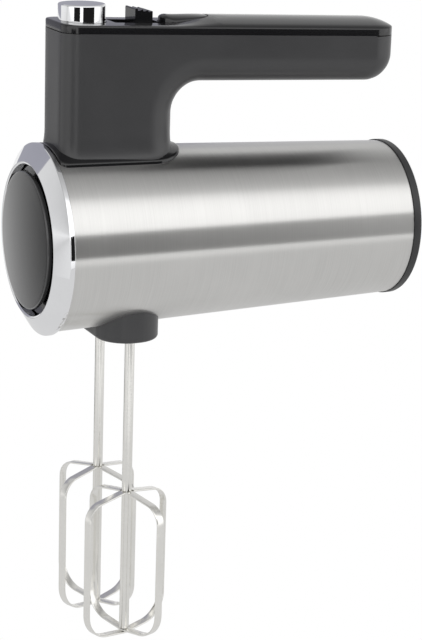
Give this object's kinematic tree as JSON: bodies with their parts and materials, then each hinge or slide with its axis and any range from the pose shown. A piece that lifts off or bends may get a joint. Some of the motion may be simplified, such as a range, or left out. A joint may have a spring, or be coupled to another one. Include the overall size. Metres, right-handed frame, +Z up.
{
  "type": "hand mixer",
  "caption": "Electric hand mixer: steel motor body with a hollow grip above and a pair of pull-out whisks below, with eject button, speed slider and turbo key.",
  "frame": {"origin": "centre of the flat rear face, on the motor's axis", "axes": "+X out of the rear face, away from the nose; +Z up, from the whisks towards the handle; +Y to the right of a user who looks along the nose"},
  "size_m": [0.1939, 0.0914, 0.3087],
  "materials": {
    "sleeve_steel": "brushed round the body",
    "whisk_steel": "bright rolled strip",
    "chrome": "polished",
    "smoked_disc": "smoked, glossy",
    "gloss_black": "glossy",
    "handle_grey": "fine satin",
    "dark_plastic": "satin",
    "inner_plastic": "moulded",
    "white_nylon": "moulded",
    "rubber": "matte",
    "lamination_steel": "varnished sheets",
    "copper": "enamelled copper",
    "bronze": "sintered",
    "carbon": "pressed carbon",
    "board_green": "lacquered",
    "zinc_steel": "zinc plated"
  },
  "bodies": {
    "housing": {"body_sleeve": "sleeve_steel", "front_bezel": "chrome", "front_disc": "smoked_disc", "front_carrier": "gloss_black", "handle_cover": "gloss_black", "saddle_gasket": "gloss_black", "handle_shell": "handle_grey", "socket_boss": "handle_grey", "rear_ring": "dark_plastic", "rear_cap": "dark_plastic", "speed_switch": "dark_plastic", "turbo_switch": "dark_plastic", "gear_case_base": "inner_plastic", "gear_case_lid": "inner_plastic", "motor_cradle": "inner_plastic", "motor_bracket": "inner_plastic", "capacitor": "white_nylon", "cord_gland": "rubber", "lead_bundle": "rubber", "stator_stack": "lamination_steel", "field_coil_upper": "copper", "field_coil_lower": "copper", "front_bearing": "bronze", "rear_bearing": "bronze", "brush_holder_left": "bronze", "brush_holder_right": "bronze", "brush_left": "carbon", "brush_right": "carbon", "control_board": "board_green", "eject_spring": "zinc_steel", "turbo_spring": "zinc_steel", "handle_screw_front": "zinc_steel", "handle_screw_rear": "zinc_steel", "case_screw_left": "zinc_steel", "case_screw_right": "zinc_steel", "cap_screw_left": "zinc_steel", "cap_screw_right": "zinc_steel"},
    "armature": {"armature_shaft": "zinc_steel", "armature_core": "lamination_steel", "armature_winding": "copper", "commutator": "copper", "cooling_fan": "white_nylon", "worm": "zinc_steel"},
    "drive_left": {"worm_wheel_left": "white_nylon", "spindle_left": "zinc_steel"},
    "drive_right": {"worm_wheel_right": "white_nylon", "spindle_right": "zinc_steel"},
    "pusher_left": {"pusher_left": "zinc_steel"},
    "pusher_right": {"pusher_right": "zinc_steel"},
    "whisk_left": {"whisk_shaft_left": "whisk_steel", "whisk_loop_lower_left": "whisk_steel", "whisk_loop_upper_left": "whisk_steel"},
    "whisk_right": {"whisk_shaft_right": "whisk_steel", "whisk_loop_lower_right": "whisk_steel", "whisk_loop_upper_right": "whisk_steel"},
    "ejector": {"eject_button": "chrome", "ejector_fork": "white_nylon"},
    "speed_key": {"speed_knob": "gloss_black", "speed_slide": "inner_plastic"},
    "turbo_key": {"turbo_button": "gloss_black"}
  },
  "joints": [
    {"name": "motor_spin", "type": "hinge", "parent": "housing", "child": "armature", "pos_m": [-0.08, 0, 0], "axis": [1, 0, 0], "continuous": true},
    {"name": "drive_left_spin", "type": "hinge", "parent": "housing", "child": "drive_left", "pos_m": [-0.1461, -0.0195, 0], "axis": [0, 0, 1], "continuous": true},
    {"name": "pusher_left_slide", "type": "slide", "parent": "drive_left", "child": "pusher_left", "axis": [0, 0, -1], "range_m": [0, 0.007]},
    {"name": "whisk_left_pull", "type": "slide", "parent": "pusher_left", "child": "whisk_left", "axis": [0, 0, -1], "range_m": [0, 0.052]},
    {"name": "drive_right_spin", "type": "hinge", "parent": "housing", "child": "drive_right", "pos_m": [-0.1461, 0.0195, 0], "axis": [0, 0, 1], "continuous": true},
    {"name": "pusher_right_slide", "type": "slide", "parent": "drive_right", "child": "pusher_right", "axis": [0, 0, -1], "range_m": [0, 0.007]},
    {"name": "whisk_right_pull", "type": "slide", "parent": "pusher_right", "child": "whisk_right", "axis": [0, 0, -1], "range_m": [0, 0.052]},
    {"name": "eject_press", "type": "slide", "parent": "housing", "child": "ejector", "axis": [0, 0, -1], "range_m": [0, 0.007], "stiffness_N_per_m": 600, "deforming": ["eject_spring"]},
    {"name": "speed_select", "type": "slide", "parent": "housing", "child": "speed_key", "axis": [1, 0, 0], "range_m": [-0.0088, 0.004]},
    {"name": "turbo_press", "type": "slide", "parent": "housing", "child": "turbo_key", "axis": [0, 0, -1], "range_m": [0, 0.002], "stiffness_N_per_m": 900, "deforming": ["turbo_spring"]}
  ],
  "couplings": [
    {"joint": "drive_left_spin", "follows": "motor_spin", "ratio": 0.083333},
    {"joint": "drive_right_spin", "follows": "motor_spin", "ratio": -0.083333},
    {"joint": "pusher_left_slide", "follows": "eject_press", "ratio": 1},
    {"joint": "pusher_right_slide", "follows": "eject_press", "ratio": 1}
  ]
}
